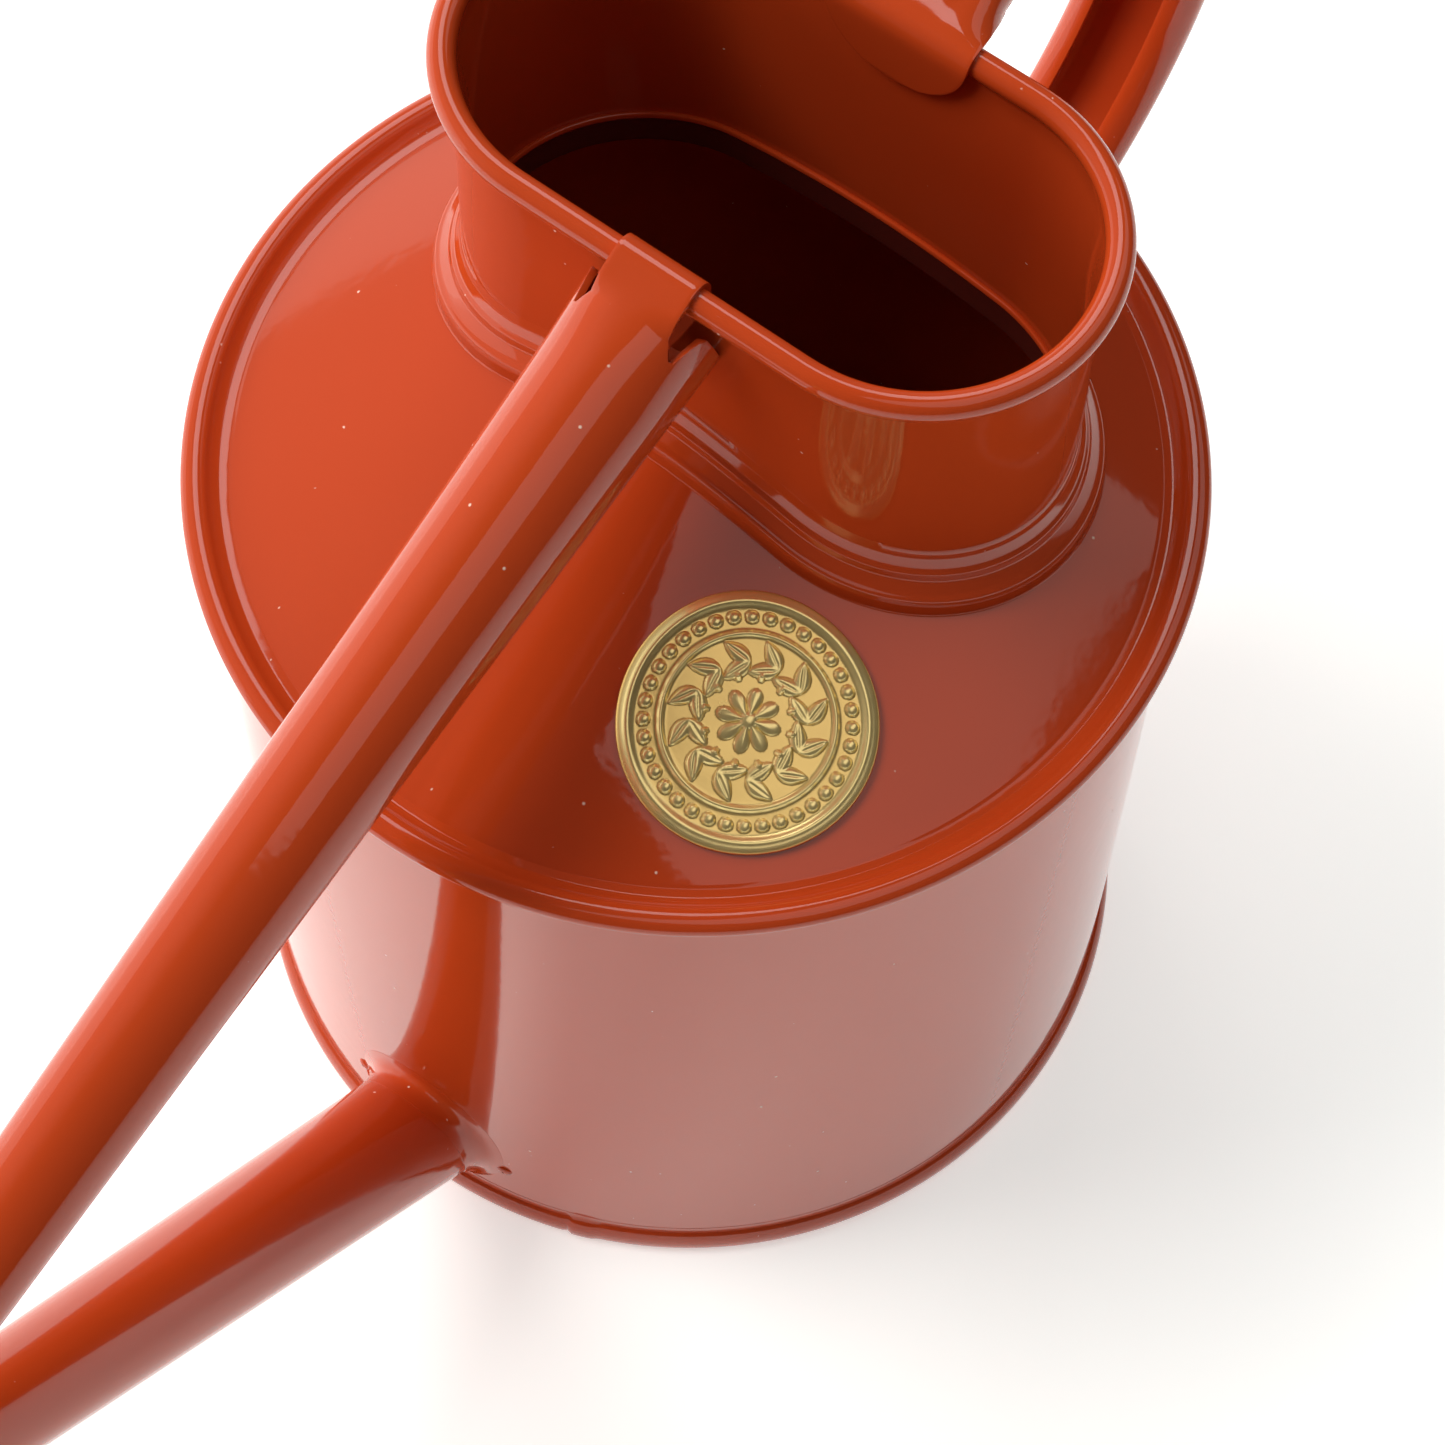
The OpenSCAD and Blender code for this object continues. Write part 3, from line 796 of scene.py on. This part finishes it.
def badge_height(x, y, leaves, berries):
    """Height of the stamping above the plate, x and y from its centre."""
    r, a = math.hypot(x, y), math.atan2(y, x)
    h = 0.55 * math.exp(-((r - RING_OUT) / 0.6) ** 2)
    h += 0.42 * math.exp(-((r - RING_IN) / 0.32) ** 2)
    step = TAU / BEADS
    near = (a + step / 2) % step - step / 2                      # angle from the nearest bead
    h += ball_height(math.hypot(near * BEADS_OUT, r - BEADS_OUT), 0.74, 0.5)
    if r < RING_IN - 0.5:
        h += max([leaf(x, y, *one) for one in leaves] + [0])
        h += max([ball_height(math.hypot(x - bx, y - by), br, 0.36) for bx, by, br in berries] + [0])
    if r < 4.0:                                                  # rosette
        petal = abs(math.cos(4 * a))
        reach = 2.0 + 1.6 * petal ** 0.7
        if r < reach:
            h = max(h, 0.55 * math.sqrt(max(0, 1 - (r / reach) ** 2)) * (0.45 + 0.55 * petal))
        h = max(h, 0.2 + ball_height(r, 0.95, 0.5)) if r < 0.95 else h
    return h


def badge_axes():
    """The badge's centre below the dome, its two directions along the dome and the normal."""
    ux, uy = math.cos(BADGE_A), math.sin(BADGE_A)
    tilt = math.asin((BADGE_OUT - CROWN_X) / CROWN_R)
    normal = Vector((ux * math.sin(tilt), uy * math.sin(tilt), math.cos(tilt)))
    e1 = Vector((ux * math.cos(tilt), uy * math.cos(tilt), -math.sin(tilt)))
    return Vector((ux * BADGE_OUT, uy * BADGE_OUT, 0)), e1, normal.cross(e1), normal


def badge():
    """A thin round brass plate bent to the dome, stamped with beads, a wreath and a rosette."""
    centre, e1, e2, normal = badge_axes()
    leaves, berries = wreath()
    rim = [(0.35, 0), (0.15, -0.06), (0.04, -0.16), (0, -0.3), (0.04, -0.55)]    # inset, drop
    rings = [(0.02, 0)] + [(BADGE_R * i / 96, 0) for i in range(1, 93)] + \
        [(BADGE_R - inset, drop) for inset, drop in rim]

    def at(x, y, h):
        q = centre + e1 * (x * math.cos(BADGE_SPIN) - y * math.sin(BADGE_SPIN)) + \
            e2 * (x * math.sin(BADGE_SPIN) + y * math.cos(BADGE_SPIN))
        q.z = dome(math.hypot(q.x, q.y)) + PAD
        return tuple(q + normal * h)

    def ring(r, height):
        row = []
        for k in range(480):
            x, y = r * math.cos(TAU * k / 480), r * math.sin(TAU * k / 480)
            row.append(at(x, y, height(x, y)))
        return row
    top = [ring(r, lambda x, y: BADGE_THICK + badge_height(x, y, leaves, berries) + drop)
           for r, drop in rings]
    under = [ring(r, lambda x, y: 0.02) for r in (14.0, 8.0, 0.02)]
    obj = piece("badge_plate", grid(top + under, False, True), mat="brass", look="stamped",
                node="badge", crisp=80)
    # the relief height, from which the badge's material paints shade into the stamping's hollows
    relief = obj.data.attributes.new("relief", "FLOAT", "POINT")
    for spot, vert in zip(relief.data, obj.data.vertices):
        p = vert.co / MM
        spot.value = (p.z - dome(math.hypot(p.x, p.y)) - PAD) / normal.z - BADGE_THICK


# ---- camera, lights and floor ----

def camera():
    """Where the photo was taken from, fitted to the rims of the drum and the collar."""
    az, el, roll, dist = (math.radians(34.733), math.radians(64.439), math.radians(2.119), 489.529)
    target = Vector((17.633, 17.048, 92.102))
    right0 = Vector((-math.sin(az), math.cos(az), 0))
    back = Vector((math.cos(el) * math.cos(az), math.cos(el) * math.sin(az), math.sin(el)))
    up0 = back.cross(right0)
    right = right0 * math.cos(roll) + up0 * math.sin(roll)
    up = up0 * math.cos(roll) - right0 * math.sin(roll)
    data = bpy.data.cameras.new("camera")
    data.lens, data.sensor_width = 107.16, 36
    data.clip_start, data.clip_end = 0.05, 20
    cam = bpy.data.objects.new("camera", data)
    bpy.context.collection.objects.link(cam)
    cam.matrix_world = Matrix.Translation((target + back * dist) * MM) @ Matrix(
        (right, up, back)).transposed().to_4x4()
    bpy.context.scene.camera = cam


def area(name, where, aim, size, radiance, colour=(1, 1, 1)):
    """A rectangular soft light, given its radiance rather than its power."""
    data = bpy.data.lights.new(name, "AREA")
    data.shape, data.size, data.size_y = "RECTANGLE", size[0], size[1]
    data.energy, data.color = radiance * math.pi * size[0] * size[1], colour
    lamp = bpy.data.objects.new(name, data)
    bpy.context.collection.objects.link(lamp)
    lamp.location = where
    lamp.rotation_euler = (Vector(aim) - Vector(where)).to_track_quat("-Z", "Y").to_euler()
    return lamp


def sky():
    """A dim room, a little brighter toward -Y."""
    world = bpy.data.worlds.new("studio")
    bpy.context.scene.world = world
    world.use_nodes = True
    tree = world.node_tree
    place = tree.nodes.new("ShaderNodeTexCoord").outputs["Generated"]
    part = tree.nodes.new("ShaderNodeSeparateXYZ")
    tree.links.new(place, part.inputs[0])
    span = tree.nodes.new("ShaderNodeMapRange")
    span.interpolation_type = "SMOOTHSTEP"
    tree.links.new(part.outputs["Y"], span.inputs["Value"])
    for key, v in zip(("From Min", "From Max", "To Min", "To Max"), (-0.1, -0.9, 0.05, 0.45)):
        span.inputs[key].default_value = v
    glow = tree.nodes["Background"]
    glow.inputs["Color"].default_value = (1, 0.97, 0.94, 1)
    tree.links.new(span.outputs[0], glow.inputs["Strength"])


def lights():
    """A soft key and wash that aren't mirrored, a low window toward -Y, a box overhead, a glint."""
    key = area("key", (0.54, -0.9, 1.56), (0, 0, 0.1), (0.9, 0.9), 8.6, (1, 0.97, 0.93))
    key.visible_glossy = False
    wash = area("wash", (0.1, -1.7, 0.44), (0.05, 0, 0.3), (3.0, 0.8), 2.2, (1, 0.95, 0.9))
    wash.visible_glossy = False
    area("window", (0.1, -1.9, 0.44), (0.05, 0, 0.3), (3.4, 0.9), 0.8, (1, 0.95, 0.9))
    area("overhead", (-0.6, 0.47, 1.3), (-0.6, 0.47, 0), (2.2, 0.9), 0.88, (1, 0.95, 0.9))
    area("glint", (-0.76, -0.76, 1.54), (0, 0, 0.1), (0.8, 0.8), 3)


def floor():
    """A plain white floor that glows a little, so that its far side stays white."""
    half = 6
    mesh = bpy.data.meshes.new("floor")
    mesh.from_pydata([(-half, -half, 0), (half, -half, 0), (half, half, 0), (-half, half, 0)], [],
                     [(0, 1, 2, 3)])
    obj = bpy.data.objects.new("floor", mesh)
    bpy.context.collection.objects.link(obj)
    m = Nodes("floor")
    m.set(Base_Color=(0.92, 0.92, 0.91, 1), Roughness=0.9, Emission_Color=(0.93, 1, 0.99, 1),
          Emission_Strength=0.5)
    mesh.materials.append(m.mat)


paint_nodes()
camera()
sky()
lights()
floor()
bpy.context.scene.view_settings.view_transform = "Standard"
drum()
base()
top_shell()
collar()
collar_foot()
handle()
brace()
spout_root()
badge()
